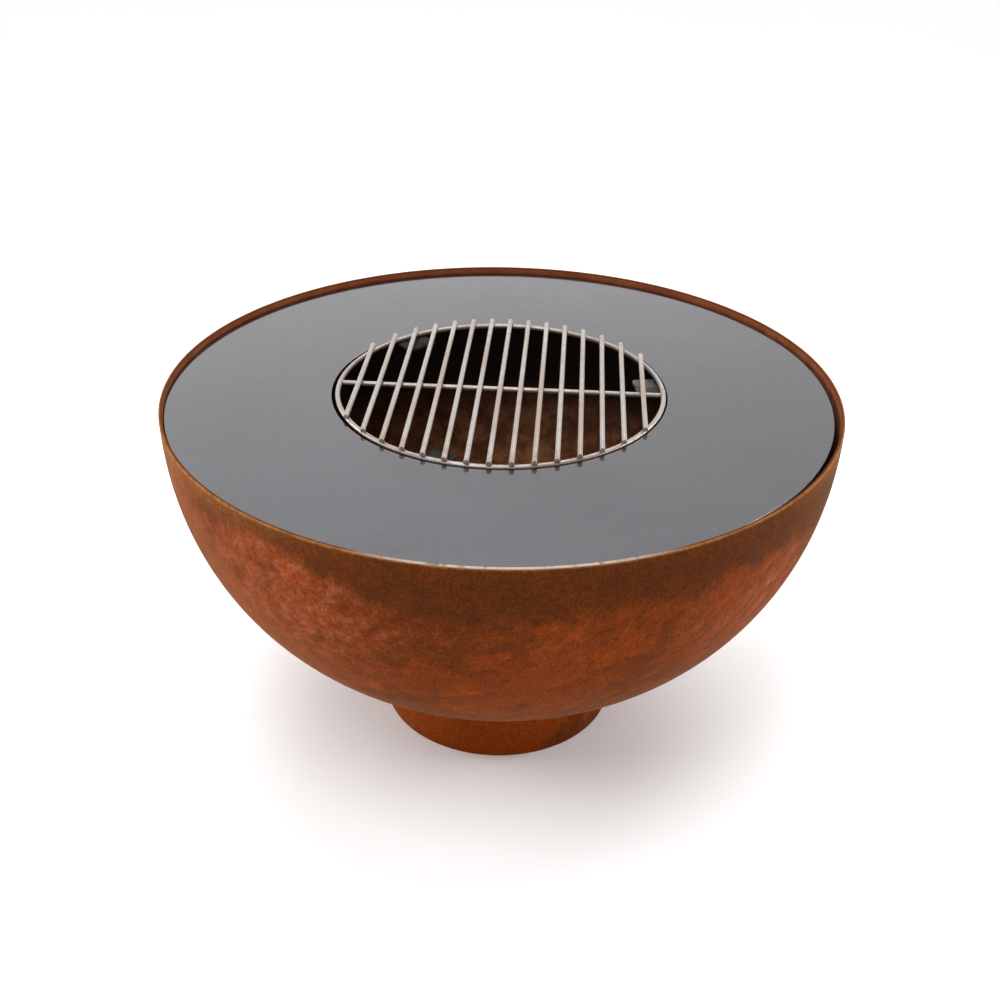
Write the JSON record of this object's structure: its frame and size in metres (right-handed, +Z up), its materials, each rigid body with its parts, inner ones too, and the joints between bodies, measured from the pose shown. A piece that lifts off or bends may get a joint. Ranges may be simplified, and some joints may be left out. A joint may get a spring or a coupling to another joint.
{
  "type": "fire pit",
  "caption": "Round steel fire bowl on a short base ring, with a drop-in ring hotplate and a lift-out round wire grate in its centre hole.",
  "frame": {"origin": "centre of the base ring's underside, on the ground", "axes": "+Z up along the bowl's axis of revolution; the grate's parallel bars run close to Y"},
  "size_m": [0.8, 0.8, 0.4517],
  "materials": {
    "corten_outside": "rusted weathering steel, matt, orange-brown with darker mottling",
    "corten_bracket": "rusted weathering steel, matt, dark brown",
    "hotplate_steel": "satin bare steel plate, grey with a soft reflection",
    "grate_wire": "bare steel wire, light grey with a warm tint and dark weld marks"
  },
  "bodies": {
    "bowl": {"fire_bowl": "corten_outside", "base_ring": "corten_outside", "plate_rest_1": "corten_bracket", "plate_rest_2": "corten_bracket", "plate_rest_3": "corten_bracket", "plate_rest_4": "corten_bracket"},
    "hotplate": {"hotplate": "hotplate_steel", "grate_tab_1": "hotplate_steel", "grate_tab_2": "hotplate_steel", "grate_tab_3": "hotplate_steel"},
    "grate": {"grate_ring": "grate_wire", "grate_bar_01": "grate_wire", "grate_bar_02": "grate_wire", "grate_bar_03": "grate_wire", "grate_bar_04": "grate_wire", "grate_bar_05": "grate_wire", "grate_bar_06": "grate_wire", "grate_bar_07": "grate_wire", "grate_bar_08": "grate_wire", "grate_bar_09": "grate_wire", "grate_bar_10": "grate_wire", "grate_bar_11": "grate_wire", "grate_bar_12": "grate_wire", "grate_bar_13": "grate_wire", "grate_bar_14": "grate_wire", "grate_bar_15": "grate_wire", "grate_cross_bar": "grate_wire"}
  },
  "joints": [
    {"name": "hotplate_lift", "type": "slide", "parent": "bowl", "child": "hotplate", "axis": [0, 0, 1], "range_m": [0, 0.12]},
    {"name": "grate_lift", "type": "slide", "parent": "hotplate", "child": "grate", "axis": [0, 0, 1], "range_m": [0, 0.12]}
  ]
}
